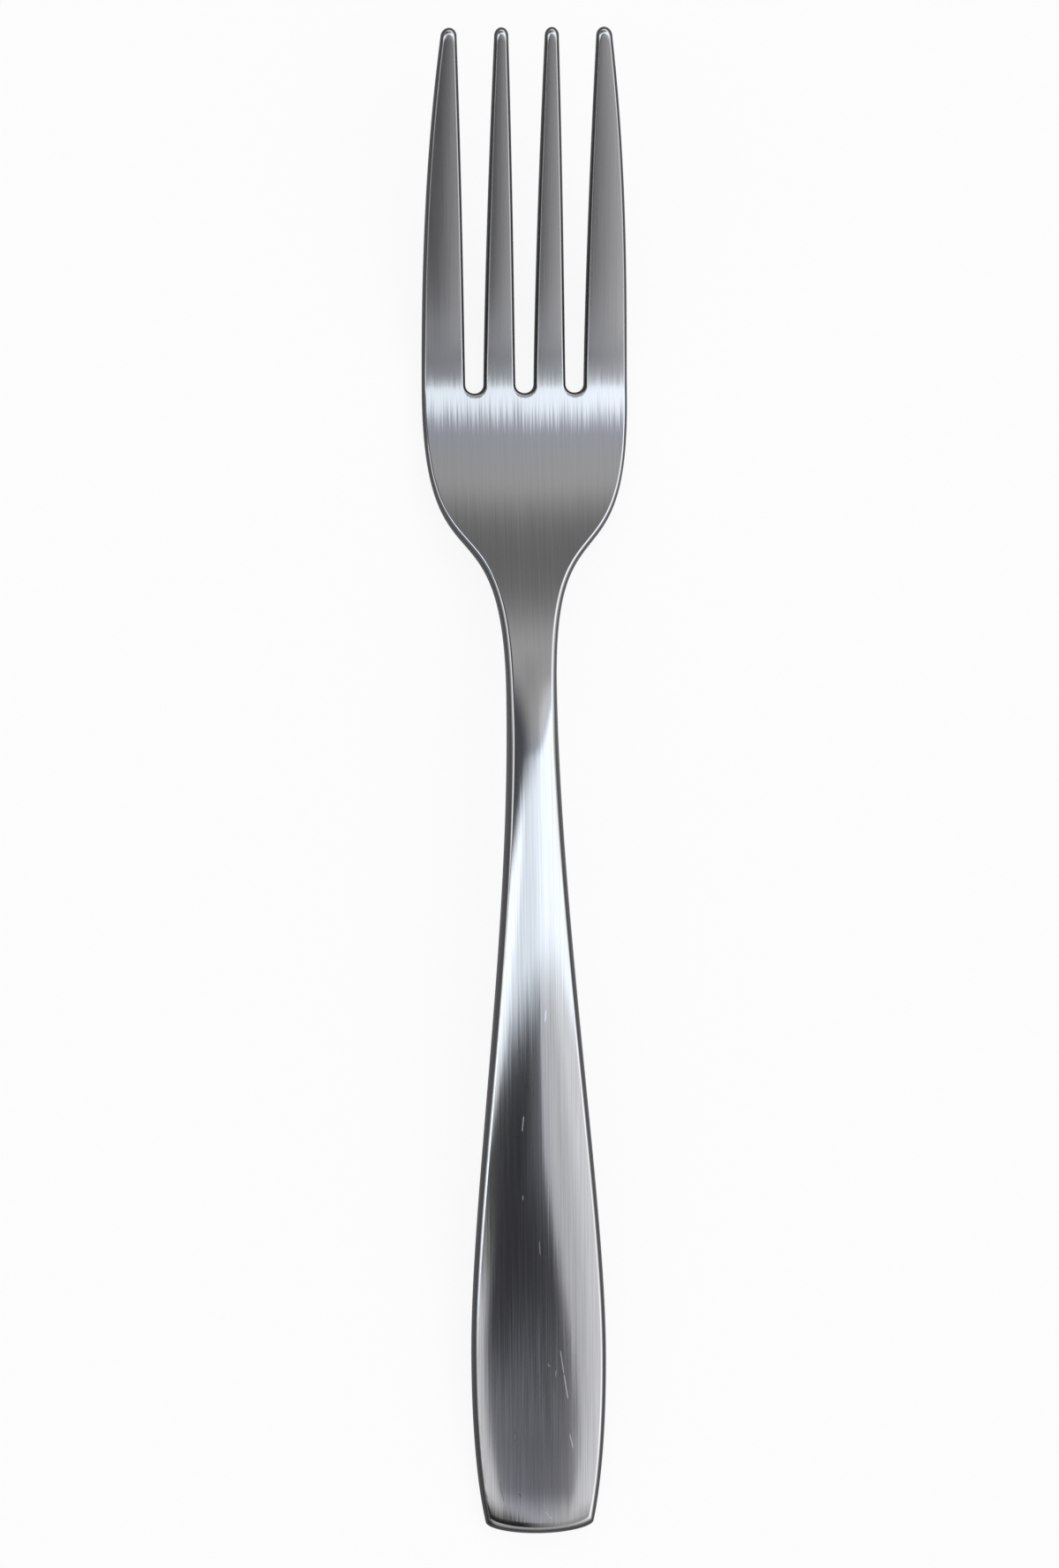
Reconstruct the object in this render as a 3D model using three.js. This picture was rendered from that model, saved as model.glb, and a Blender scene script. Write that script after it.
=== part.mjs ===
// Table fork, one piece of stainless steel. A flat blank with a long handle, a neck, a palm and four
// tapering tines is graded in thickness, bowed to its side profile and rounded along its whole edge.
// Millimetres: +Y runs from the handle's end to the tine tips, +X to the right, +Z up from the table.
import * as THREE from "three";

// Lengths along the fork
const LENGTH = 200; // handle end to tine tips, in plan
const TINE_LENGTH = 47.9; // slot roots to tine tips
const PALM_LENGTH = 39.7; // narrowest place of the neck to the slot roots
const HANDLE_WIDEST_AT = 24; // from the handle end
const END_ROUND = 1.55; // depth of the rounded handle end
const ROOT_ROUND = 1.2; // depth of the rounded slot roots
const TIP_ROUND = 1; // depth of the rounded tine tips

// Widths of the blank
const HANDLE_WIDTH = 18;
const END_WIDTH = 13.6; // across the handle end, before its corners are rounded
const NECK_WIDTH = 6.75;
const SLOT_WIDTH = 2.4; // at the slot roots
const INNER_TINE_WIDTH = 4.3; // at the slot roots
const OUTER_TINE_WIDTH = 5.83;
const INNER_TIP_WIDTH = 1.8;
const OUTER_TIP_WIDTH = 1.95;
const TIP_DRAW_IN = 2.48; // how far each outer edge comes in between the slot roots and the tips

// Thickness at the edges, and how much the middle of the handle stands above them
const END_THICKNESS = 1.7;
const NECK_THICKNESS = 3.1;
const PALM_THICKNESS = 2;
const TIP_THICKNESS = 1.15;
const STRAIGHT_END = 12; // of the handle, over which its upper face runs straight above the flat land
const END_TAPER = 0.12; // taken off the very end besides
const END_TAPER_RUN = 6;
const CROWN = 0.6;
const CROWN_END = 5; // past the neck's narrowest place
const CROWN_FADE = 14; // run over which the crown dies away before its end
const CAMBER = 0.25; // rise of the middle of the head above its sides
const TINE_CROWN = 0.04; // rise of the middle of a tine above its sides, as a share of half its width
const TINE_CROWN_RUN = 8; // past the slot roots, over which this crown grows

// Side profile of the underside
const REST_LENGTH = 4.2; // flat land under the handle end
const CREST_AT = 89; // from the handle end
const CREST_HEIGHT = 6;
const BELLY_BEHIND_SLOTS = 0.2; // from the slot roots back to the lowest place of the palm
const TIP_HEIGHT = 12.3;
const TIP_SLOPE = 0.295; // rise over run at the tips

// Edge rounding
const TOP_EDGE = 0.9; // width of the rounding on the upper side of the handle
const TINE_EDGE = 0.5; // and of the tines
const UNDER_EDGE = 0.35;
const TIP_SETBACK = 0.9; // from a tine's tip back to the end of its upper face
const TOP_SHARE = 0.6; // share of the thickness that the upper rounding takes
const UNDER_SHARE = 0.3;
const NARROW_LIMIT = 0.6; // most that the rounding takes of half a narrow tine

// Shape of the curves: the share of each run over which a curve keeps close to its end's direction
const END_SWEEP = [0.1, 0.587];
const END_FLARE = 0.32; // widening over run at the handle end
const TAPER_SWEEP = [0.235, 0.36];
const PALM_SWEEP = [0.674, 0.697];
const DRAW_IN_POWER = 2.55;
const HANDLE_BOW = [0.06, 0.36];
const NECK_BOW = [0.54, 0.34];
const TINE_BOW = [0.09, 0.68];

// Fineness of the mesh
const END_ROWS = 3;
const HANDLE_ROWS = 26;
const PALM_ROWS = 24;
const TINE_ROWS = 16;
const BODY_COLUMNS = 12;
const TINE_COLUMNS = 4;
const SLOT_COLUMNS = 6;
const TOP_STEPS = 3;
const UNDER_STEPS = 2;
const TIP_BOW_ROWS = 2; // last rows of a tine, over which the bow of its rounded tip grows
const BISECTIONS = 40;
const SLOPE_STEP = 0.02; // along the fork, for the slope of the underside
const SAME_PLACE = 1e-9; // shares of a row that count as equal

const ROOT_Y = LENGTH - TINE_LENGTH;
const NECK_Y = ROOT_Y - PALM_LENGTH;
const BELLY_Y = ROOT_Y - BELLY_BEHIND_SLOTS;
const TINE_START = ROOT_Y + ROOT_ROUND;
const HEAD_HALF = 1.5 * SLOT_WIDTH + INNER_TINE_WIDTH + OUTER_TINE_WIDTH;
const { lerp, smoothstep, clamp } = THREE.MathUtils;

// A cubic curve between two points as a function of its first coordinate, level at both ends unless
// slopes are given.
function sweep(from, to, shares, slopes = [0, 0]) {
  const run = to[0] - from[0];
  const [start, stop] = shares.map((share) => share * run);
  const curve = new THREE.CubicBezierCurve(
    new THREE.Vector2(...from),
    new THREE.Vector2(from[0] + start, from[1] + start * slopes[0]),
    new THREE.Vector2(to[0] - stop, to[1] - stop * slopes[1]),
    new THREE.Vector2(...to),
  );
  return (position) => {
    let low = 0;
    let high = 1;
    for (let step = 0; step < BISECTIONS; step += 1) {
      const middle = (low + high) / 2;
      if (curve.getPoint(middle).x < position) low = middle;
      else high = middle;
    }
    return curve.getPoint(low).y;
  };
}

const HANDLE_HALF = HANDLE_WIDTH / 2;
const NECK_HALF = NECK_WIDTH / 2;
const endSide = sweep([0, END_WIDTH / 2], [HANDLE_WIDEST_AT, HANDLE_HALF], END_SWEEP, [END_FLARE, 0]);
const taperSide = sweep([HANDLE_WIDEST_AT, HANDLE_HALF], [NECK_Y, NECK_HALF], TAPER_SWEEP);
const palmSide = sweep([NECK_Y, NECK_HALF], [ROOT_Y, HEAD_HALF], PALM_SWEEP);
const handleRise = sweep([REST_LENGTH, 0], [CREST_AT, CREST_HEIGHT], HANDLE_BOW);
const neckFall = sweep([CREST_AT, CREST_HEIGHT], [BELLY_Y, 0], NECK_BOW);
const tineRise = sweep([BELLY_Y, 0], [LENGTH, TIP_HEIGHT], TINE_BOW, [0, TIP_SLOPE]);

const alongTine = (y) => clamp((y - ROOT_Y) / TINE_LENGTH, 0, 1);

function halfWidth(y) {
  if (y < HANDLE_WIDEST_AT) return endSide(y);
  if (y < NECK_Y) return taperSide(y);
  if (y < ROOT_Y) return palmSide(y);
  return HEAD_HALF - TIP_DRAW_IN * alongTine(y) ** DRAW_IN_POWER;
}

function underside(y) {
  if (y <= REST_LENGTH) return 0;
  if (y < CREST_AT) return handleRise(y);
  if (y < BELLY_Y) return neckFall(y);
  return tineRise(y);
}

const slopeOf = (curve, y) => (curve(y + SLOPE_STEP) - curve(y - SLOPE_STEP)) / (2 * SLOPE_STEP);
const END_SLOPE = slopeOf(handleRise, STRAIGHT_END);

function endTaper(y) {
  const straight = handleRise(STRAIGHT_END) + END_SLOPE * (y - STRAIGHT_END);
  const land = y < STRAIGHT_END ? underside(y) - straight : 0;
  return land + END_TAPER * Math.max(0, 1 - y / END_TAPER_RUN) ** 2;
}

function edgeThickness(y) {
  if (y < NECK_Y) {
    return lerp(END_THICKNESS, NECK_THICKNESS, Math.sin((Math.PI / 2) * (y / NECK_Y))) - endTaper(y);
  }
  if (y < ROOT_Y) return lerp(NECK_THICKNESS, PALM_THICKNESS, smoothstep(y, NECK_Y, ROOT_Y));
  return lerp(PALM_THICKNESS, TIP_THICKNESS, alongTine(y));
}

const topEdge = (y) => lerp(TOP_EDGE, TINE_EDGE, smoothstep(y, NECK_Y, ROOT_Y));
const underEdge = () => UNDER_EDGE;

// The handle's upper face is crowned, on into its rounded edges; the crown runs out where the neck opens
// into the palm.
function thickness(x, y) {
  const across = x / (halfWidth(y) - topEdge(y));
  const crownEnd = NECK_Y + CROWN_END;
  const fade = 1 - smoothstep(y, crownEnd - CROWN_FADE, crownEnd);
  return edgeThickness(y) + CROWN * fade * (1 - across * across) + tineCrown(x, y);
}

// Each tine is slightly crowned across.
function tineCrown(x, y) {
  const outer = Math.abs(x) > SLOT_WIDTH + INNER_TINE_WIDTH;
  const [left, right] = tineEdges(outer ? 3 : 2, y);
  const half = (right - left) / 2;
  const across = (Math.abs(x) - left) / half - 1;
  const grown = smoothstep(y, TINE_START, TINE_START + TINE_CROWN_RUN);
  return TINE_CROWN * half * grown * (1 - across * across);
}

// The head is bowed slightly across, so that its middle stands above its sides.
function camber(x, y) {
  const across = x / HEAD_HALF;
  return CAMBER * smoothstep(y, NECK_Y, ROOT_Y) * (1 - across * across);
}

// Left and right edges of one tine, counted from the left, at a place along the fork.
function tineEdges(tine, y) {
  const along = alongTine(y);
  const eased = (along + along * along) / 2;
  const innerMiddle = (SLOT_WIDTH + INNER_TINE_WIDTH) / 2;
  const innerHalf = lerp(INNER_TINE_WIDTH, INNER_TIP_WIDTH, eased) / 2;
  const gapSide = lerp(HEAD_HALF - OUTER_TINE_WIDTH, HEAD_HALF - TIP_DRAW_IN - OUTER_TIP_WIDTH, eased);
  const inner = [innerMiddle - innerHalf, innerMiddle + innerHalf];
  const outer = [gapSide, halfWidth(y)];
  const [near, far] = tine === 0 || tine === 3 ? outer : inner;
  return tine < 2 ? [-far, -near] : [near, far];
}

const fan = (count) => Array.from({ length: count + 1 }, (_, i) => Math.PI * (i / count - 0.5));
const spread = (from, to, count) => Array.from({ length: count + 1 }, (_, i) => lerp(from, to, i / count));

// The rows of one tine, from the slot roots to the tip, the last one following the rounded tip.
function tineRows(tine, share, edge) {
  const last = LENGTH - TIP_ROUND - share * TIP_SETBACK;
  return spread(TINE_START, last, TINE_ROWS).map((start, row) => {
    const bow = TIP_ROUND * Math.max(0, 1 - (TINE_ROWS - row) / TIP_BOW_ROWS);
    return fan(TINE_COLUMNS).map((angle) => {
      const y = start + bow * Math.cos(angle);
      const [left, right] = tineEdges(tine, y);
      const half = (right - left) / 2;
      const inset = share * Math.min(edge(y), NARROW_LIMIT * half);
      return { x: (left + right) / 2 + (half - inset) * Math.sin(angle), y };
    });
  });
}

// The rows of the handle, neck and palm. The first one follows the rounded handle end, and the bow that
// this gives it dies away over the flat land; the last one lies on the belly.
function bodyRows(share, edge) {
  const first = END_ROUND + share * edge(0);
  const end = spread(first, REST_LENGTH, END_ROWS);
  const handle = spread(REST_LENGTH, NECK_Y, HANDLE_ROWS).slice(1);
  const palm = spread(NECK_Y, BELLY_Y, PALM_ROWS).slice(1);
  return [...end, ...handle, ...palm].map((side) => {
    const bow = END_ROUND * clamp((REST_LENGTH - side) / (REST_LENGTH - first), 0, 1);
    return fan(BODY_COLUMNS).map((angle) => {
      const y = side - bow * Math.cos(angle);
      return { x: (halfWidth(y) - share * edge(y)) * Math.sin(angle), y };
    });
  });
}

// The rounded root between two tines, without the two points that belong to the tines.
function slotRoot(from, to, depth) {
  const middle = (from.x + to.x) / 2;
  const half = (to.x - from.x) / 2;
  const arc = fan(SLOT_COLUMNS).slice(1, -1);
  return arc.map((angle) => ({ x: middle + half * Math.sin(angle), y: from.y - depth * Math.cos(angle) }));
}

// The blank in plan, drawn in from its outline by a share of the edge width at each place: the rows of its
// faces and its rim, anticlockwise from the left of the handle end.
function plan(share, edge) {
  const body = bodyRows(share, edge);
  const tines = [0, 1, 2, 3].map((tine) => tineRows(tine, share, edge));
  const starts = tines.map((rows) => rows[0]);
  const depth = ROOT_ROUND + share * edge(ROOT_Y);
  const roots = [0, 1, 2].map((i) => slotRoot(starts[i].at(-1), starts[i + 1][0], depth));
  const rootRow = starts.flatMap((start, i) => [...start, ...(roots[i] ?? [])]);
  const rim = [...body[0], ...body.slice(1).map((row) => row.at(-1))];
  for (let i = 3; i >= 0; i -= 1) {
    const sides = tines[i].slice(0, -1);
    rim.push(...sides.map((row) => row.at(-1)), ...tines[i].at(-1).toReversed());
    rim.push(...sides.map((row) => row[0]).toReversed(), ...(roots[i - 1] ?? []).toReversed());
  }
  rim.push(...body.slice(1).map((row) => row[0]).toReversed());
  return { strips: [[...body, rootRow], ...tines], rim };
}

// Triangles between two rows of points, whatever their counts, facing up when the first is the nearer.
function stitch(lower, upper) {
  const part = (row, i) => (row[i].x - row[0].x) / (row.at(-1).x - row[0].x);
  const faces = [];
  let a = 0;
  let b = 0;
  while (a < lower.length - 1 || b < upper.length - 1) {
    const lowerNext = a < lower.length - 1 ? part(lower, a + 1) : Infinity;
    const upperNext = b < upper.length - 1 ? part(upper, b + 1) : Infinity;
    if (lowerNext <= upperNext + SAME_PLACE) {
      faces.push([lower[a], lower[a + 1], upper[b]]);
      a += 1;
    } else {
      faces.push([lower[a], upper[b + 1], upper[b]]);
      b += 1;
    }
  }
  return faces;
}

const faceOf = (strips) =>
  strips.flatMap((rows) => rows.slice(1).flatMap((row, i) => stitch(rows[i], row)));

function wall(above, below) {
  return above.flatMap((top, i) => {
    const next = (i + 1) % above.length;
    return [[below[i], below[next], above[next]], [below[i], above[next], top]];
  });
}

// Each point goes up square to the bowed underside by its share of the thickness there.
function lift(point, share) {
  const slope = slopeOf(underside, Math.min(point.y, LENGTH - SLOPE_STEP));
  const up = new THREE.Vector3(0, -slope, 1).normalize();
  const foot = new THREE.Vector3(point.x, point.y, underside(point.y) + camber(point.x, point.y));
  return foot.addScaledVector(up, share * thickness(point.x, point.y));
}

// The levels of the edge from the upper face down to the underside, each a plan and a height share.
function edgeLevels() {
  const quarter = (i, count) => (Math.PI / 2) * (i / count);
  const upper = spread(TOP_STEPS, 0, TOP_STEPS).map((i) => {
    const angle = quarter(i, TOP_STEPS);
    const height = 1 - TOP_SHARE + TOP_SHARE * Math.sin(angle);
    return { plan: plan(1 - Math.cos(angle), topEdge), height };
  });
  const under = spread(0, UNDER_STEPS, UNDER_STEPS).map((i) => {
    const angle = quarter(i, UNDER_STEPS);
    return { plan: plan(1 - Math.cos(angle), underEdge), height: UNDER_SHARE * (1 - Math.sin(angle)) };
  });
  return [...upper, ...under];
}

function forkGeometry() {
  const levels = edgeLevels();
  const top = levels[0];
  const under = levels.at(-1);
  const faces = faceOf(top.plan.strips);
  faces.push(...faceOf(under.plan.strips).map((face) => face.toReversed()));
  levels.slice(1).forEach((level, i) => faces.push(...wall(levels[i].plan.rim, level.plan.rim)));
  const heights = new Map();
  for (const { plan: level, height } of levels) {
    for (const point of [...level.strips.flat(2), ...level.rim]) heights.set(point, height);
  }
  const corners = faces.flat().flatMap((point) => lift(point, heights.get(point)).toArray());
  const geometry = new THREE.BufferGeometry();
  geometry.setAttribute("position", new THREE.Float32BufferAttribute(corners, 3));
  geometry.computeVertexNormals();
  return geometry;
}

function centredFork() {
  const geometry = forkGeometry();
  geometry.computeBoundingBox();
  const box = geometry.boundingBox;
  const middle = box.getCenter(new THREE.Vector3());
  geometry.translate(-middle.x, -middle.y, -box.min.z);
  const steel = new THREE.MeshStandardMaterial({ color: 0xb8b9bb, metalness: 1, roughness: 0.32 });
  const fork = new THREE.Mesh(geometry, steel);
  fork.name = "fork";
  return fork;
}

const part = new THREE.Group();
part.add(centredFork());

export default part;
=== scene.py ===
# Table fork of brushed stainless steel, lying face up on a white table and seen from above.
# The fork repeats the part's own curves at a finer step, in millimetres from the handle's end.
import math

import bpy
import numpy as np
from mathutils import Matrix, Vector


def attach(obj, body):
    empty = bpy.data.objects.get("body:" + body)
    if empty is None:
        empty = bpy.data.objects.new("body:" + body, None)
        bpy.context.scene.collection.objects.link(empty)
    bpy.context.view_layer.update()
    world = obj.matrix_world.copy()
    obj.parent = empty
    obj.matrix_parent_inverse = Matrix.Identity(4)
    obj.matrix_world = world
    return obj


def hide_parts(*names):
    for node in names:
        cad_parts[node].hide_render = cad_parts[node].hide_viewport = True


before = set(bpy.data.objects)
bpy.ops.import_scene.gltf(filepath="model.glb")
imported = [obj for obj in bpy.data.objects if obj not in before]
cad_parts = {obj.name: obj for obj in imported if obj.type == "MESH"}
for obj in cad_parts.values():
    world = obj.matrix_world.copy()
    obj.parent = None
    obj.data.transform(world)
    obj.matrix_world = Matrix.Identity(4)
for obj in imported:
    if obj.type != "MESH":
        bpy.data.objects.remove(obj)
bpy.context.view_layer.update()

MM = 0.001

TINES = 4  # counted from the left
INNER_RIGHT, OUTER_RIGHT = 2, 3  # of the tines

# Lengths along the fork
LENGTH = 200.0  # handle end to tine tips, in plan
TINE_LENGTH = 47.9  # slot roots to tine tips
PALM_LENGTH = 39.7  # narrowest place of the neck to the slot roots
HANDLE_WIDEST_AT = 24.0  # from the handle end
END_ROUND = 1.55  # depth of the rounded handle end
ROOT_ROUND = 1.2  # depth of the rounded slot roots
TIP_ROUND = 1.0  # depth of the rounded tine tips

# Widths of the blank
HANDLE_WIDTH = 18.0
END_WIDTH = 13.6  # across the handle end, before its corners are rounded
NECK_WIDTH = 6.75
SLOT_WIDTH = 2.4  # at the slot roots
INNER_TINE_WIDTH = 4.3  # at the slot roots
OUTER_TINE_WIDTH = 5.83
INNER_TIP_WIDTH = 1.8
OUTER_TIP_WIDTH = 1.95
TIP_DRAW_IN = 2.48  # how far each outer edge comes in between the slot roots and the tips

# Thickness at the edges, and how much the middle stands above them
END_THICKNESS = 1.7
NECK_THICKNESS = 3.1
PALM_THICKNESS = 2.0
TIP_THICKNESS = 1.15
STRAIGHT_END = 12.0  # of the handle, over which its upper face runs straight above the flat land
END_TAPER = 0.12  # taken off the very end besides
END_TAPER_RUN = 6.0
CROWN = 0.6
CROWN_END = 5.0  # past the neck's narrowest place
CROWN_FADE = 14.0  # run over which the crown dies away before its end
CAMBER = 0.25  # rise of the middle of the head above its sides
TINE_CROWN = 0.04  # rise of the middle of a tine above its sides, as a share of half its width
TINE_CROWN_RUN = 8.0  # past the slot roots, over which this crown grows

# Side profile of the underside
REST_LENGTH = 4.2  # flat land under the handle end
CREST_AT = 89.0  # from the handle end
CREST_HEIGHT = 6.0
BELLY_BEHIND_SLOTS = 0.2  # from the slot roots back to the lowest place of the palm
TIP_HEIGHT = 12.3
TIP_SLOPE = 0.295  # rise over run at the tips

# Edge rounding
TOP_EDGE = 0.9  # width of the rounding on the upper side of the handle
TINE_EDGE = 0.5  # and of the tines
UNDER_EDGE = 0.35
TIP_SETBACK = 0.9  # from a tine's tip back to the end of its upper face
TOP_SHARE = 0.6  # share of the thickness that the upper rounding takes
UNDER_SHARE = 0.3
NARROW_LIMIT = 0.6  # most that the rounding takes of half a narrow tine
HANDLE_DARK_ROUGH_FROM = 30.0  # steepness in degrees up to which the rounding stays smooth and bright; steeper, it is rougher and painted dark, a painted reflection of dark surroundings
NECK_DARK_ROUGH_FROM = 42.0
TINE_DARK_ROUGH_FROM = 20.0
DARK_ROUGH_FADE = 12.0
NECK_DARK_ROUGH_PLACE = 85.0  # from the handle end
TINE_DARK_ROUGH_RUN = (10.0, 3.0)  # before the slot roots, over which the limit of the rough, painted dark sides turns to that of the tines

# Shape of the curves: the share of each run over which a curve keeps close to its end's direction
END_SWEEP = (0.1, 0.587)
END_FLARE = 0.32  # widening over run at the handle end
TAPER_SWEEP = (0.235, 0.36)
PALM_SWEEP = (0.674, 0.697)
DRAW_IN_POWER = 2.55
HANDLE_BOW = (0.06, 0.36)
NECK_BOW = (0.54, 0.34)
TINE_BOW = (0.09, 0.68)

# Fineness of the mesh
END_ROWS = 16
HANDLE_ROWS = 130
PALM_ROWS = 110
TINE_ROWS = 90
TINE_COLUMNS = 12
SLOT_COLUMNS = 12
TOP_STEPS = 10
UNDER_STEPS = 5
BISECTIONS = 40
SLOPE_STEP = 0.02  # along the fork, for the slope of the underside
END_BOW_RUN = 12.0  # over which the rows take on the bow of the handle end
TIP_BOW_RUN = 5.0
FAN_IN = 12.0  # past the neck, where the columns start to gather into the tines
DIP_RUN = 9.0  # before the tines, over which the rows take on the bow of the slot roots

ROOT_Y = LENGTH - TINE_LENGTH
NECK_Y = ROOT_Y - PALM_LENGTH
BELLY_Y = ROOT_Y - BELLY_BEHIND_SLOTS
TINE_START = ROOT_Y + ROOT_ROUND
HEAD_HALF = 1.5 * SLOT_WIDTH + INNER_TINE_WIDTH + OUTER_TINE_WIDTH
HANDLE_HALF = HANDLE_WIDTH / 2
NECK_HALF = NECK_WIDTH / 2

# The photographed view
FRAME_HEIGHT = 0.20858  # of the table, over the picture's 1776 pixels
SENSOR = 36.0
CAMERA_DISTANCE = 1.2
CAMERA_LEAN = math.radians(4.5)  # to the left of straight overhead
CAMERA_ROLL = math.radians(0.79)
AIM = (-0.00029, 0.0, 0.004)


def lerp(start, stop, share):
    return start + (stop - start) * share


def smoothstep(value, low, high):
    share = np.clip((value - low) / (high - low), 0, 1)
    return share * share * (3 - 2 * share)


def bezier(points, t):
    a, b, c, d = points
    return a * (1 - t) ** 3 + 3 * b * t * (1 - t) ** 2 + 3 * c * t * t * (1 - t) + d * t**3


def sweep(start, stop, shares, slopes=(0.0, 0.0)):
    """A cubic curve between two points as a function of its first coordinate, level at both ends unless
    slopes are given."""
    run = stop[0] - start[0]
    near, far = shares[0] * run, shares[1] * run
    places = (start[0], start[0] + near, stop[0] - far, stop[0])
    heights = (start[1], start[1] + near * slopes[0], stop[1] - far * slopes[1], stop[1])

    def at(position):
        low = np.zeros_like(position)
        high = np.ones_like(position)
        for _ in range(BISECTIONS):
            middle = (low + high) / 2
            below = bezier(places, middle) < position
            low = np.where(below, middle, low)
            high = np.where(below, high, middle)
        return bezier(heights, low)

    return at


end_side = sweep((0, END_WIDTH / 2), (HANDLE_WIDEST_AT, HANDLE_HALF), END_SWEEP, (END_FLARE, 0))
taper_side = sweep((HANDLE_WIDEST_AT, HANDLE_HALF), (NECK_Y, NECK_HALF), TAPER_SWEEP)
palm_side = sweep((NECK_Y, NECK_HALF), (ROOT_Y, HEAD_HALF), PALM_SWEEP)
handle_rise = sweep((REST_LENGTH, 0), (CREST_AT, CREST_HEIGHT), HANDLE_BOW)
neck_fall = sweep((CREST_AT, CREST_HEIGHT), (BELLY_Y, 0), NECK_BOW)
tine_rise = sweep((BELLY_Y, 0), (LENGTH, TIP_HEIGHT), TINE_BOW, (0, TIP_SLOPE))


def along_tine(y):
    return np.clip((y - ROOT_Y) / TINE_LENGTH, 0, 1)


def half_width(y):
    head = HEAD_HALF - TIP_DRAW_IN * along_tine(y) ** DRAW_IN_POWER
    runs = [y < HANDLE_WIDEST_AT, y < NECK_Y, y < ROOT_Y]
    return np.select(runs, [end_side(y), taper_side(y), palm_side(y)], head)


def underside(y):
    runs = [y <= REST_LENGTH, y < CREST_AT, y < BELLY_Y]
    return np.select(runs, [np.zeros_like(y), handle_rise(y), neck_fall(y)], tine_rise(y))


def slope_of(curve, y):
    return (curve(y + SLOPE_STEP) - curve(y - SLOPE_STEP)) / (2 * SLOPE_STEP)


def end_slope():
    return slope_of(handle_rise, np.array(STRAIGHT_END))


def end_taper(y):
    straight = handle_rise(np.array(STRAIGHT_END)) + end_slope() * (y - STRAIGHT_END)
    land = np.where(y < STRAIGHT_END, underside(y) - straight, 0)
    return land + END_TAPER * np.maximum(0, 1 - y / END_TAPER_RUN) ** 2


def edge_thickness(y):
    handle = lerp(END_THICKNESS, NECK_THICKNESS, np.sin(math.pi / 2 * y / NECK_Y)) - end_taper(y)
    palm = lerp(NECK_THICKNESS, PALM_THICKNESS, smoothstep(y, NECK_Y, ROOT_Y))
    tines = lerp(PALM_THICKNESS, TIP_THICKNESS, along_tine(y))
    return np.select([y < NECK_Y, y < ROOT_Y], [handle, palm], tines)


def top_edge(y):
    return lerp(TOP_EDGE, TINE_EDGE, smoothstep(y, NECK_Y, ROOT_Y))


def under_edge(y):
    return np.full_like(y, UNDER_EDGE)


def thickness(x, y):
    """The handle's upper face is crowned, on into its rounded edges. The crown runs out where the neck
    opens into the palm."""
    across = x / (half_width(y) - top_edge(y))
    crown_end = NECK_Y + CROWN_END
    fade = 1 - smoothstep(y, crown_end - CROWN_FADE, crown_end)
    return edge_thickness(y) + CROWN * fade * (1 - across * across) + tine_crown(x, y)


def tine_crown(x, y):
    """Each tine is slightly crowned across."""
    outer = np.abs(x) > SLOT_WIDTH + INNER_TINE_WIDTH
    pairs = zip(tine_edges(INNER_RIGHT, y), tine_edges(OUTER_RIGHT, y))
    left, right = (np.where(outer, far, near) for near, far in pairs)
    half = (right - left) / 2
    across = (np.abs(x) - left) / half - 1
    grown = smoothstep(y, TINE_START, TINE_START + TINE_CROWN_RUN)
    return TINE_CROWN * half * grown * (1 - across * across)


def camber(x, y):
    """The head is bowed slightly across, so that its middle stands above its sides."""
    return CAMBER * smoothstep(y, NECK_Y, ROOT_Y) * (1 - (x / HEAD_HALF) ** 2)


def lift(x, y, share):
    """Each point goes up square to the bowed underside by its share of the thickness there. Over the
    handle's straight end the lean of this turns evenly to upright."""
    slope = slope_of(underside, np.minimum(y, LENGTH - SLOPE_STEP))
    slope = np.where(y < STRAIGHT_END, end_slope() * y / STRAIGHT_END, slope)
    rise = share * thickness(x, y) / np.sqrt(1 + slope * slope)
    return np.stack([x, y - slope * rise, underside(y) + camber(x, y) + rise], axis=-1)


def tine_edges(tine, y):
    """Left and right edges of one tine at a place along the fork."""
    along = along_tine(y)
    eased = (along + along * along) / 2
    if tine in (0, TINES - 1):
        near = lerp(HEAD_HALF - OUTER_TINE_WIDTH, HEAD_HALF - TIP_DRAW_IN - OUTER_TIP_WIDTH, eased)
        far = half_width(y)
    else:
        middle = (SLOT_WIDTH + INNER_TINE_WIDTH) / 2
        half = lerp(INNER_TINE_WIDTH, INNER_TIP_WIDTH, eased) / 2
        near, far = middle - half, middle + half
    return (-far, -near) if tine < INNER_RIGHT else (near, far)


def fan(count):
    return np.linspace(-math.pi / 2, math.pi / 2, count + 1)


def tine_rows(tine, share, edge):
    """The rows of one tine, from the slot roots to the tip, the last ones following the rounded tip."""
    last = LENGTH - TIP_ROUND - share * TIP_SETBACK
    start = np.linspace(TINE_START, last, TINE_ROWS + 1)[:, None]
    angle = fan(TINE_COLUMNS)[None, :]
    y = start + TIP_ROUND * np.clip(1 - (last - start) / TIP_BOW_RUN, 0, 1) * np.cos(angle)
    left, right = tine_edges(tine, y)
    half = (right - left) / 2
    inset = share * np.minimum(edge(y), NARROW_LIMIT * half)
    return np.stack([(left + right) / 2 + (half - inset) * np.sin(angle), y], axis=-1)


def root_row(tines, depth):
    """The row where the tines part: the first rows of the tines, with the rounded slot roots between."""
    points = [tines[0][0]]
    angle = fan(SLOT_COLUMNS)[1:-1]
    for before, after in zip(tines, tines[1:]):
        (left, y), (right, _) = before[0, -1], after[0, 0]
        x = (left + right) / 2 + (right - left) / 2 * np.sin(angle)
        points += [np.stack([x, y - depth * np.cos(angle)], axis=-1), after[0]]
    return np.concatenate(points)


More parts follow.
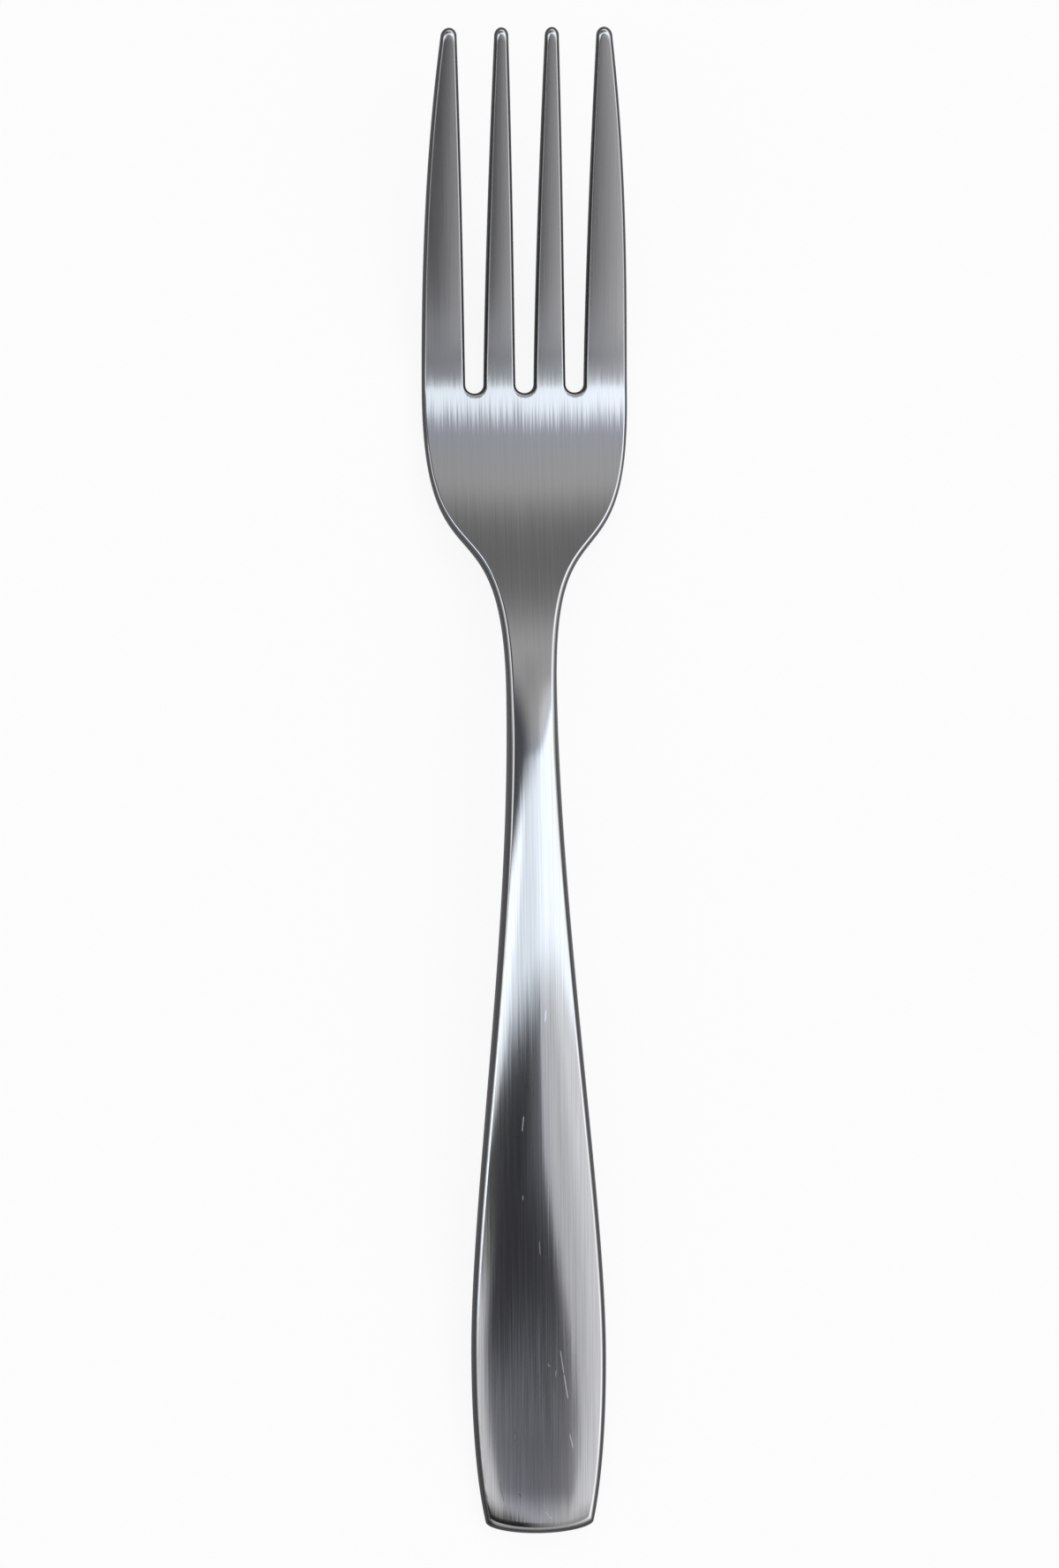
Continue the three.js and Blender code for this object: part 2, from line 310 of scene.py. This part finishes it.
def body_rows(share, edge, root):
    """The rows of the handle, neck and palm, from the rounded handle end to where the tines part."""
    first = END_ROUND + share * edge(0.0)
    end = np.linspace(first, END_BOW_RUN, END_ROWS + 1)
    handle = np.linspace(END_BOW_RUN, NECK_Y, HANDLE_ROWS + 1)
    palm = np.linspace(NECK_Y, TINE_START, PALM_ROWS + 1)
    side = np.concatenate([end, handle[1:], palm[1:]])[:, None]
    angle = fan(len(root) - 1)[None, :]
    bow = END_ROUND * np.clip((END_BOW_RUN - side) / (END_BOW_RUN - first), 0, 1)
    dip = (TINE_START - root[:, 1]) * smoothstep(side, TINE_START - DIP_RUN, TINE_START)
    y = side - bow * np.cos(angle) - dip
    gathered = root[:, 0] / root[-1, 0]
    across = lerp(np.sin(angle), gathered, smoothstep(side, NECK_Y + FAN_IN, TINE_START))
    return np.stack([(half_width(y) - share * edge(y)) * across, y], axis=-1)


def plan(share, edge):
    """The blank in plan, drawn in from its outline by a share of the edge width at each place: all its
    points, row by row."""
    tines = [tine_rows(tine, share, edge) for tine in range(TINES)]
    root = root_row(tines, ROOT_ROUND + share * edge(ROOT_Y))
    body = body_rows(share, edge, root)
    return np.concatenate([body.reshape(-1, 2)] + [rows[1:].reshape(-1, 2) for rows in tines])


def numbering():
    """The places of plan()'s points: the rows of the body, and those of each tine, which start on the
    body's last row."""
    columns = TINES * TINE_COLUMNS + (TINES - 1) * SLOT_COLUMNS + 1
    rows = END_ROWS + HANDLE_ROWS + PALM_ROWS + 1
    body = np.arange(rows * columns).reshape(rows, columns)
    tines = []
    count = body.size
    for tine in range(TINES):
        first = tine * (TINE_COLUMNS + SLOT_COLUMNS)
        shared = body[-1, first:first + TINE_COLUMNS + 1]
        own = count + np.arange(TINE_ROWS * (TINE_COLUMNS + 1)).reshape(TINE_ROWS, -1)
        count += own.size
        tines.append(np.vstack([shared, own]))
    return body, tines


def rim_of(body, tines):
    """The outline's points, anticlockwise from the left of the handle end."""
    rim = [body[0], body[1:, -1]]
    for tine in reversed(range(TINES)):
        rows = tines[tine]
        rim += [rows[1:-1, -1], rows[-1, ::-1], rows[-2:0:-1, 0]]
        if tine:
            first = tine * (TINE_COLUMNS + SLOT_COLUMNS)
            rim.append(body[-1, first - SLOT_COLUMNS:first + 1][::-1])
    rim.append(body[-1:0:-1, 0])
    return np.concatenate(rim)


def quads(rows):
    corners = [rows[:-1, :-1], rows[:-1, 1:], rows[1:, 1:], rows[1:, :-1]]
    return np.stack(corners, axis=-1).reshape(-1, 4)


def edge_levels():
    """The levels of the edge from the upper face down to the underside: share of the edge width by which
    each is drawn in, that width, and its share of the height."""
    upper = [(1 - math.cos(a), top_edge, 1 - TOP_SHARE * (1 - math.sin(a)))
             for a in np.linspace(math.pi / 2, 0, TOP_STEPS + 1)]
    under = [(1 - math.cos(a), under_edge, UNDER_SHARE * (1 - math.sin(a)))
             for a in np.linspace(0, math.pi / 2, UNDER_STEPS + 1)]
    return upper + under


def fork_mesh():
    """The fork's points, its faces, and how far each point lies across the grain, measured on over the
    edge."""
    body, tines = numbering()
    rim = rim_of(body, tines)
    face = np.concatenate([quads(body)] + [quads(rows) for rows in tines])
    levels = edge_levels()
    shapes = [lift(*plan(share, edge).T, height) for share, edge, height in levels]
    blocks = [shapes[0]] + [shape[rim] for shape in shapes[1:-1]] + [shapes[-1]]
    offsets = np.cumsum([0] + [len(block) for block in blocks])
    rings = [rim] + [start + np.arange(len(rim)) for start in offsets[1:-2]] + [offsets[-2] + rim]
    faces = [face, face[:, ::-1] + offsets[-2]]
    for above, below in zip(rings, rings[1:]):
        corners = [below, np.roll(below, -1), np.roll(above, -1), above]
        faces.append(np.stack(corners, axis=-1))
    around = [np.zeros(len(shapes[0]))]
    reach = np.zeros(len(rim))
    for above, below in zip(shapes, shapes[1:]):
        reach = reach + np.linalg.norm(below[rim] - above[rim], axis=-1)
        around.append(reach)
    around[-1] = np.full(len(shapes[-1]), reach.mean())
    points = np.concatenate(blocks)
    return points, np.concatenate(faces), points[:, 0] + np.concatenate(around)


def painted_dark_and_rough_sides(mesh, y):
    """How far each point belongs to the rough sides, which are painted dark as a painted reflection of dark
    surroundings, by how steep it is. The neck's rounding stays smooth and bright furthest and that of the
    tines least."""
    normals = np.empty(3 * len(mesh.vertices), np.float32)
    mesh.vertex_normals.foreach_get("vector", normals)
    steep = np.degrees(np.arccos(np.clip(np.abs(normals[2::3]), 0, 1)))
    first, last = TINE_DARK_ROUGH_RUN
    start = lerp(HANDLE_DARK_ROUGH_FROM, NECK_DARK_ROUGH_FROM, smoothstep(y, NECK_DARK_ROUGH_PLACE, NECK_Y))
    start = lerp(start, TINE_DARK_ROUGH_FROM, smoothstep(y, ROOT_Y - first, ROOT_Y - last))
    return smoothstep(steep, start, start + DARK_ROUGH_FADE)


def build_fork():
    points, faces, grain = fork_mesh()
    low, high = points.min(axis=0), points.max(axis=0)
    middle = np.array([(low[0] + high[0]) / 2, (low[1] + high[1]) / 2, low[2]])
    mesh = bpy.data.meshes.new("steel_fork")
    mesh.from_pydata(((points - middle) * MM).tolist(), [], faces.tolist())
    mesh.validate()
    mesh.shade_smooth()
    # The side mask marks the rough sides that the steel paints dark, a painted reflection of dark
    # surroundings
    side = painted_dark_and_rough_sides(mesh, points[:, 1]).astype(np.float32)
    mesh.attributes.new("side", "FLOAT", "POINT").data.foreach_set("value", side)
    corner = np.array([loop.vertex_index for loop in mesh.loops])
    places = np.stack([grain[corner], points[corner, 1]], axis=-1).astype(np.float32)
    mesh.uv_layers.new(name="grain").uv.foreach_set("vector", places.ravel())
    piece = bpy.data.objects.new("steel_fork", mesh)
    bpy.context.scene.collection.objects.link(piece)
    return piece


class Graph:
    """A node tree with short calls for the nodes that the steel and the studio are made of."""

    def __init__(self, tree):
        self.tree = tree
        tree.nodes.clear()

    def node(self, kind, **settings):
        made = self.tree.nodes.new(kind)
        for name, value in settings.items():
            setattr(made, name, value)
        return made

    def feed(self, socket, value):
        if isinstance(value, bpy.types.NodeSocket):
            self.tree.links.new(value, socket)
        else:
            socket.default_value = value

    def math(self, operation, *values):
        made = self.node("ShaderNodeMath", operation=operation)
        for socket, value in zip(made.inputs, values):
            self.feed(socket, value)
        return made.outputs[0]

    def vector(self, operation, *values):
        made = self.node("ShaderNodeVectorMath", operation=operation)
        for socket, value in zip(made.inputs, values):
            self.feed(socket, value)
        return made.outputs[0]

    def plus(self, first, second):
        return self.math("ADD", first, second)

    def minus(self, first, second):
        return self.math("SUBTRACT", first, second)

    def times(self, first, second):
        return self.math("MULTIPLY", first, second)

    def over(self, value, limit):
        """How far a value lies past a limit."""
        return self.math("MAXIMUM", self.minus(value, limit), 0.0)

    def grown(self, value, limit, rate, most):
        """What a value gains past a limit at a rate, up to a most."""
        return self.math("MINIMUM", self.times(self.over(value, limit), rate), most)

    def dot(self, vector, axis):
        made = self.node("ShaderNodeVectorMath", operation="DOT_PRODUCT")
        self.feed(made.inputs[0], vector)
        self.feed(made.inputs[1], axis)
        return made.outputs["Value"]

    def scaled(self, vector, factor):
        made = self.node("ShaderNodeVectorMath", operation="SCALE")
        self.feed(made.inputs[0], vector)
        self.feed(made.inputs["Scale"], factor)
        return made.outputs[0]

    def ease(self, value, low, high, start=0.0, stop=1.0):
        """A smooth step of a value from one level to another."""
        made = self.node("ShaderNodeMapRange", interpolation_type="SMOOTHSTEP")
        for socket, number in zip(made.inputs, (value, low, high, start, stop)):
            self.feed(socket, number)
        return made.outputs[0]

    def plateau(self, value, rise, level, fall, end):
        """A smooth step up and down again."""
        return self.times(self.ease(value, rise, level), self.ease(value, fall, end, 1.0, 0.0))

    def mix(self, share, start, stop):
        """A blend of two numbers."""
        made = self.node("ShaderNodeMix", data_type="FLOAT")
        for socket, value in zip((made.inputs[0], made.inputs[2], made.inputs[3]), (share, start, stop)):
            self.feed(socket, value)
        return made.outputs[0]

    def blend(self, share, start, stop):
        """A blend of two colours."""
        made = self.node("ShaderNodeMix", data_type="RGBA")
        for socket, value in zip((made.inputs[0], made.inputs[6], made.inputs[7]), (share, start, stop)):
            self.feed(socket, value)
        return made.outputs[2]

    def noise(self, place, scale, detail, rough):
        """Noise of a place that is stretched by a scale along each axis."""
        made = self.node("ShaderNodeTexNoise", noise_dimensions="3D")
        self.feed(made.inputs["Vector"], self.vector("MULTIPLY", place, scale))
        made.inputs["Scale"].default_value = 1.0
        made.inputs["Detail"].default_value = detail
        made.inputs["Roughness"].default_value = rough
        return made.outputs[0]


# The steel. A noise has a scale, in waves a millimetre across and along the grain, a detail and a roughness
STEEL = (0.63, 0.63, 0.635, 1)
STEEL_DARK_STREAK = (0.535, 0.535, 0.54, 1)
# Painted dark of the steep sides: a painted reflection of dark surroundings
PAINTED_DARK_SIDES = (0.09, 0.09, 0.093, 1)
STREAK_NOISE = ((5.0, 0.045, 0), 3.0, 0.6)
LEAN_NOISE = ((5.0, 0.045, 0), 3.0, 0.65)
LEAN_SHIFT = (37.0, 11.0, 5.0)  # so that the grain's lean and its streaks don't coincide
HAIR_NOISE = ((7.0, 0.07, 0), 2.0, 0.5)
NOISE_MIDDLE = 0.5
STREAK_CONTRAST = (0.35, 0.65)  # of the noise, over which a streak turns dark
PALM_STREAKS = 0.25  # how plainly the streaks show on the head, as a share of those on the handle
TILT_ACROSS = 0.022
TILT_ALONG = 0.026
ROOT_TILT_ALONG = 0.13  # livelier grain where the tines part
ROOT_GRAIN = (-8.0, -4.0, 1.0, 4.0)  # past the slot roots: rising, level and falling again
ROUGHNESS = 0.085
ROUGHNESS_SPREAD = 0.04  # over the whole range of the hair noise
ROOT_ROUGHNESS = 0.24  # where the tines part
TINE_ROUGHNESS = 0.17
ROOT_RUN = (-0.8, 1.5, 3.0, 6.5)  # past the slot roots: rising, level and falling to that of the tines
SIDE_ROUGHNESS = 0.35

# Fine scratches of use on the upper face: both ends, in millimetres right of the middle and from the
# handle end, and how plainly each shows
WORN_PLACES = (
    ((0.5, 3.15), (1.7, 1.75), 1.0),
    ((2.75, 24.6), (3.2, 21.4), 0.3),
    ((3.2, 21.4), (3.75, 18.0), 0.42),
    ((3.95, 13.4), (4.4, 11.4), 0.4),
    ((-5.4, 7.2), (-4.9, 4.4), 0.45),
    ((-2.95, 5.5), (-2.6, 5.0), 0.5),
    ((0.9, 23.0), (1.4, 22.3), 0.4),
)
HAIRLINES = 9  # strewn over the handle besides
HAIRLINE_SEED = 11
HAIRLINE_SPAN = (10.0, 84.0)  # of the handle
HAIRLINE_LENGTH = (0.8, 2.6)
HAIRLINE_SLANT = 0.14  # most that one leans from the grain, sideways over along
HAIRLINE_STRENGTH = (0.25, 0.5)
HAIRLINE_MARGIN = 3.0  # kept clear along the sides of the handle
SCRATCH_WIDTH = 0.09  # from its middle to where it is lost
SCRATCH_FADE = 0.3  # at both ends
SCRATCH_TILT = 0.14
SCRATCH_ROUGHNESS = 0.3


def scratch_list():
    draw = np.random.default_rng(HAIRLINE_SEED)
    found = list(WORN_PLACES)
    for _ in range(HAIRLINES):
        y = draw.uniform(*HAIRLINE_SPAN)
        reach = float(half_width(np.array(y))) - HAIRLINE_MARGIN
        x = draw.uniform(-reach, reach)
        run = draw.uniform(*HAIRLINE_LENGTH)
        slant = draw.uniform(-HAIRLINE_SLANT, HAIRLINE_SLANT)
        found.append(((x, y), (x + slant * run, y + run), draw.uniform(*HAIRLINE_STRENGTH)))
    return found


def scratches(g, place):
    """How much of a scratch there is at a place."""
    mask = 0.0
    for start, stop, strength in scratch_list():
        run = Vector(stop) - Vector(start)
        way = run.normalized()
        offset = g.vector("SUBTRACT", place, (*start, 0.0))
        along = g.dot(offset, (way.x, way.y, 0.0))
        across = g.math("ABSOLUTE", g.dot(offset, (way.y, -way.x, 0.0)))
        ends = g.plateau(along, 0.0, SCRATCH_FADE, run.length - SCRATCH_FADE, run.length)
        line = g.times(ends, g.ease(across, 0.0, SCRATCH_WIDTH, strength, 0.0))
        mask = g.math("MAXIMUM", mask, line)
    return mask


def grain_normal(g, place, reach, hair, scratch):
    """The normal, tilted across and along the grain by the brushing and along it by scratches."""
    lean = g.noise(g.vector("ADD", place, LEAN_SHIFT), *LEAN_NOISE)
    tangent = g.node("ShaderNodeTangent", direction_type="UV_MAP", uv_map="grain").outputs[0]
    normal = g.node("ShaderNodeNewGeometry").outputs["Normal"]
    along = g.vector("CROSS_PRODUCT", normal, tangent)
    lively = g.plateau(reach, *(ROOT_Y + run for run in ROOT_GRAIN))
    across_by = g.times(g.minus(hair, NOISE_MIDDLE), TILT_ACROSS)
    along_by = g.times(g.minus(lean, NOISE_MIDDLE), g.mix(lively, TILT_ALONG, ROOT_TILT_ALONG))
    along_by = g.plus(along_by, g.times(scratch, SCRATCH_TILT))
    tilted = g.vector("ADD", normal, g.scaled(tangent, across_by))
    tilted = g.vector("ADD", tilted, g.scaled(along, along_by))
    return g.vector("NORMALIZE", tilted)


def polish(g, reach, hair, scratch):
    """The roughness of the face: dullest where the tines part, and in scratches."""
    rise, level, fall, stop = (ROOT_Y + run for run in ROOT_RUN)
    rough = g.mix(g.ease(reach, rise, level), ROUGHNESS, ROOT_ROUGHNESS)
    rough = g.mix(g.ease(reach, fall, stop), rough, TINE_ROUGHNESS)
    rough = g.plus(rough, g.times(g.minus(hair, NOISE_MIDDLE), ROUGHNESS_SPREAD))
    return g.mix(scratch, rough, SCRATCH_ROUGHNESS)


def steel_material():
    material = bpy.data.materials.new("brushed_steel")
    material.use_nodes = True
    g = Graph(material.node_tree)
    place = g.node("ShaderNodeUVMap", uv_map="grain").outputs[0]
    parts = g.node("ShaderNodeSeparateXYZ")
    g.feed(parts.inputs[0], place)
    reach = parts.outputs[1]
    streak = g.noise(place, *STREAK_NOISE)
    hair = g.noise(place, *HAIR_NOISE)
    side = g.node("ShaderNodeAttribute", attribute_name="side").outputs["Fac"]
    scratch = scratches(g, place)
    plain = g.ease(reach, NECK_Y - CROWN_FADE, NECK_Y, 1.0, PALM_STREAKS)
    dull = g.times(g.ease(streak, *STREAK_CONTRAST), plain)
    face = g.blend(dull, STEEL, STEEL_DARK_STREAK)
    rough = polish(g, reach, hair, scratch)
    shader = g.node("ShaderNodeBsdfPrincipled")
    shader.inputs["Metallic"].default_value = 1.0
    # The steep sides get painted dark, a painted reflection of dark surroundings, and a rougher finish
    g.feed(shader.inputs["Base Color"], g.blend(side, face, PAINTED_DARK_SIDES))
    g.feed(shader.inputs["Roughness"], g.mix(side, rough, SIDE_ROUGHNESS))
    g.feed(shader.inputs["Normal"], grain_normal(g, place, reach, hair, scratch))
    output = g.node("ShaderNodeOutputMaterial")
    g.tree.links.new(shader.outputs[0], output.inputs["Surface"])
    return material


FLOOR_WHITE = (0.95, 0.95, 0.95, 1)
FLOOR_SIZE = 6.0
FLOOR_GAP = 0.0001  # below the fork
FLOOR_GLOW = 0.9  # share of plain white in what is seen of the floor; the rest carries the shadow


def build_floor():
    half = FLOOR_SIZE / 2
    mesh = bpy.data.meshes.new("table_top")
    plan_corners = ((-half, -half), (half, -half), (half, half), (-half, half))
    mesh.from_pydata([(x, y, -FLOOR_GAP) for x, y in plan_corners], [], [(0, 1, 2, 3)])
    material = bpy.data.materials.new("white_table")
    material.use_nodes = True
    g = Graph(material.node_tree)
    matt = g.node("ShaderNodeBsdfDiffuse")
    matt.inputs["Color"].default_value = FLOOR_WHITE
    white = g.node("ShaderNodeEmission")
    path = g.node("ShaderNodeLightPath").outputs
    seen = g.math("MAXIMUM", path["Is Camera Ray"], path["Is Transmission Ray"])
    mixed = g.node("ShaderNodeMixShader")
    g.feed(mixed.inputs[0], g.times(seen, FLOOR_GLOW))
    g.tree.links.new(matt.outputs[0], mixed.inputs[1])
    g.tree.links.new(white.outputs[0], mixed.inputs[2])
    output = g.node("ShaderNodeOutputMaterial")
    g.tree.links.new(mixed.outputs[0], output.inputs["Surface"])
    mesh.materials.append(material)
    floor = bpy.data.objects.new("table_top", mesh)
    bpy.context.scene.collection.objects.link(floor)


# The studio. Directions are told by their east and north parts, light as a share of white. A ramp is the
# two places between which it runs, from none to all or from its third number to its fourth
WHITE = (1.0, 1.0, 1.0, 1)
COOL = (0.95, 0.975, 1.1, 1)  # of the dark in the south
NORTH_COOL = (0.94, 0.98, 1.12, 1)
COOL_EAST = (0.05, 0.25, 1.0, 0.3)
COOL_WEST = (-0.25, -0.12)
COOL_SOUTH = (-0.375, -0.345)
NORTH_COOL_END = (0.15, 0.3)
OVERHEAD = (-0.02, 0.02)  # where the south of the ceiling meets the north

STRIP_LIGHT = (1.27, 1.38, 1.5)
STRIP_BRIGHTER_EAST = (-0.1, 0.4, 0.93, 1.25)
STRIP_BRIGHTER_WEST = (-0.42, -0.25, 0.4, 0.0)  # besides
STRIP_NORTH = 0.11  # from overhead to its north edge
STRIP_SOUTH = 0.142
STRIP_NORTH_BLUR = (-0.05, 0.05, 1.0, 0.0)
STRIP_SOUTH_BLUR = (-0.03, 0.03)
STRIP_LEAN = 0.05  # northward over eastward, of the north edge
STRIP_CURL = 0.3  # of the north edge, by the cube of the distance eastward
STRIP_FLARE = 0.3  # southward over outward, of the south edge past these two places
STRIP_FLARE_EAST = 0.45
STRIP_FLARE_WEST = 0.35
STRIP_NARROWING = 0.1  # northward over eastward, of the south edge

DARK = 0.045
GLEAM = 0.13  # more in the east, close to the strip
GLEAM_EAST = (-0.06, 0.1)
GLEAM_NORTH = (-0.25, -0.225)
DUSK = (0.278, 8.3, 0.2)  # gained southward: from where, at what rate and up to how much
FAR_DUSK = (0.316, 9.3, 0.4)
PANEL_EDGE = 0.11  # east, close to the strip
PANEL_SWING = (0.226, 2.2, 0.18)  # eastward of this edge, gained southward
PANEL_BLUR = (-0.01, 0.015)
PANEL_LIGHT = (0.25, 0.4, 0.72, 1.0)
CARD_EDGE = (-0.27, -0.2, -0.18, -0.3)  # east, by the place north
CARD_BLUR = (-0.02, 0.03)
CARD_LIGHT = 0.9

FAR_SOUTH = (-0.39, -0.355, 1.0, 0.0)  # beyond the panel and the card
FAR_LIGHT = (-0.08, 0.14, 0.03, 0.39)
FAR_LIGHT_EAST = (0.1, 0.3, 0.0, 0.25)  # besides
FAR_FADE = (-0.44, -0.38, 0.68, 1.0)
CORNER_WEST = (-0.25, -0.13, 0.4, 0.0)
CORNER_NORTH = (-0.41, -0.38)
LOW_SOUTH = (-0.58, -0.5, 1.0, 0.0)
LOW_SOUTH_LIGHT = 0.5

NORTH_LIGHT = (-0.5, 0.15, 0.1, 0.49)
NORTH_LIGHT_EAST = (0.15, 0.45, 0.0, 0.35)  # besides
NORTH_FADE = (0.31, 0.43, 1.0, 0.38)

WALL_LIGHT = (1.6, 1.6, 1.6)
WALL_START = (-0.45, -0.25, 0.72, 0.6)  # how far from overhead, by the place east
WALL_BLUR = (0.0, 0.18)
WALL_SOUTH = (-0.75, -0.45, 0.3, 1.0)
WALL_WEST = (-0.5, -0.35, 1.0, 0.0)
WALL_WEST_SOUTH = (-0.25, -0.1, 1.0, 0.0)
WALL_CORNER_LIGHT = 0.12  # in the south-west
WALL_FOOT = (0.88, 0.96, 1.0, 0.5)  # dimmer low down


class Studio:
    """A room with white walls round a dim ceiling, as seen from the fork. A strip lamp crosses the ceiling
    from east to west. South of it lie a panel in the east, a card in the west and darkness between them.
    The north is a grey that grows lighter to the east."""

    def __init__(self, graph):
        self.g = graph
        parts = graph.node("ShaderNodeSeparateXYZ")
        graph.feed(parts.inputs[0], graph.node("ShaderNodeTexCoord").outputs["Generated"])
        self.east, self.north, up = parts.outputs
        self.west = graph.times(self.east, -1.0)
        self.beyond = graph.times(self.north, -1.0)
        self.reach = graph.math("SQRT", graph.minus(1.0, graph.times(up, up)))

    def strip(self):
        """How much of the strip lamp is seen. Its north edge bends north in the east and south in the west,
        and its south edge flares southward at both ends."""
        g = self.g
        cube = g.math("POWER", g.math("ABSOLUTE", self.east), 3.0)
        cube = g.times(cube, g.math("SIGN", self.east))
        bent = g.plus(g.times(self.east, STRIP_LEAN), g.times(cube, STRIP_CURL))
        past_north = g.minus(self.north, g.plus(bent, STRIP_NORTH))
        outer = g.plus(g.over(self.east, STRIP_FLARE_EAST), g.over(self.west, STRIP_FLARE_WEST))
        inner = g.times(g.over(self.east, 0.0), STRIP_NARROWING)
        past_south = g.plus(self.north, g.plus(g.times(outer, STRIP_FLARE), STRIP_SOUTH))
        past_south = g.minus(past_south, inner)
        return g.times(g.ease(past_south, *STRIP_SOUTH_BLUR), g.ease(past_north, *STRIP_NORTH_BLUR))

    def dark(self):
        """The dark between the panel and the card, which lightens southward."""
        g = self.g
        gleam = g.times(g.ease(self.east, *GLEAM_EAST), g.ease(self.north, *GLEAM_NORTH))
        level = g.plus(DARK, g.times(gleam, GLEAM))
        return g.plus(level, g.plus(g.grown(self.beyond, *DUSK), g.grown(self.beyond, *FAR_DUSK)))

    def far_south(self):
        g = self.g
        level = g.plus(g.ease(self.east, *FAR_LIGHT), g.ease(self.east, *FAR_LIGHT_EAST))
        level = g.times(level, g.ease(self.north, *FAR_FADE))
        level = g.plus(level, g.times(g.ease(self.east, *CORNER_WEST), g.ease(self.north, *CORNER_NORTH)))
        return g.mix(g.ease(self.north, *LOW_SOUTH), level, LOW_SOUTH_LIGHT)

    def south(self):
        g = self.g
        panel_edge = g.plus(PANEL_EDGE, g.grown(self.beyond, *PANEL_SWING))
        panel = g.ease(g.minus(self.east, panel_edge), *PANEL_BLUR)
        level = g.mix(panel, self.dark(), g.ease(self.east, *PANEL_LIGHT))
        card = g.ease(g.minus(g.ease(self.north, *CARD_EDGE), self.east), *CARD_BLUR)
        level = g.mix(card, level, CARD_LIGHT)
        return g.mix(g.ease(self.north, *FAR_SOUTH), level, self.far_south())

    def northern(self):
        g = self.g
        level = g.plus(g.ease(self.east, *NORTH_LIGHT), g.ease(self.east, *NORTH_LIGHT_EAST))
        return g.times(level, g.ease(self.north, *NORTH_FADE))

    def walls(self):
        """How much of the walls is seen. They start lower in the west."""
        g = self.g
        return g.ease(g.minus(self.reach, g.ease(self.east, *WALL_START)), *WALL_BLUR)

    def wall_level(self):
        """The walls are dimmer in the south and low down, and dark in the south-west."""
        g = self.g
        corner = g.times(g.ease(self.east, *WALL_WEST), g.ease(self.north, *WALL_WEST_SOUTH))
        level = g.times(g.ease(self.north, *WALL_SOUTH), g.mix(corner, 1.0, WALL_CORNER_LIGHT))
        return g.times(level, g.ease(self.reach, *WALL_FOOT))

    def tint(self):
        """The ceiling is cool in its dark part and just north of the strip."""
        g = self.g
        dark_part = g.times(g.ease(self.east, *COOL_EAST), g.ease(self.east, *COOL_WEST))
        southern = g.blend(g.times(g.ease(self.north, *COOL_SOUTH), dark_part), WHITE, COOL)
        northern = g.blend(g.ease(self.north, *NORTH_COOL_END), NORTH_COOL, WHITE)
        return g.blend(g.ease(self.north, *OVERHEAD), southern, northern)

    def colour(self):
        g = self.g
        level = g.mix(g.ease(self.north, *OVERHEAD), self.south(), self.northern())
        ceiling = g.scaled(self.tint(), level)
        brighter = g.plus(g.ease(self.east, *STRIP_BRIGHTER_WEST), g.ease(self.east, *STRIP_BRIGHTER_EAST))
        lamp = g.scaled(STRIP_LIGHT, brighter)
        wall = g.scaled(WALL_LIGHT, self.wall_level())
        return g.blend(self.walls(), g.blend(self.strip(), ceiling, lamp), wall)


def build_studio():
    world = bpy.data.worlds.new("studio")
    world.use_nodes = True
    g = Graph(world.node_tree)
    background = g.node("ShaderNodeBackground")
    g.feed(background.inputs["Color"], Studio(g).colour())
    output = g.node("ShaderNodeOutputWorld")
    g.tree.links.new(background.outputs[0], output.inputs["Surface"])
    bpy.context.scene.world = world


def build_camera():
    data = bpy.data.cameras.new("camera")
    data.sensor_width = SENSOR
    data.lens = SENSOR * CAMERA_DISTANCE / FRAME_HEIGHT
    camera = bpy.data.objects.new("camera", data)
    back = Vector((-math.sin(CAMERA_LEAN), 0, math.cos(CAMERA_LEAN)))
    right = Vector((math.cos(CAMERA_LEAN), 0, math.sin(CAMERA_LEAN)))
    turned = Matrix.Rotation(-CAMERA_ROLL, 3, back) @ Matrix((right, back.cross(right), back)).transposed()
    camera.matrix_world = Matrix.Translation(Vector(AIM) + back * CAMERA_DISTANCE) @ turned.to_4x4()
    bpy.context.scene.collection.objects.link(camera)
    bpy.context.scene.camera = camera


bpy.context.scene.view_settings.view_transform = "Standard"
build_camera()
build_studio()
build_floor()
fork = build_fork()
fork.data.materials.append(steel_material())
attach(fork, "root")
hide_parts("fork")
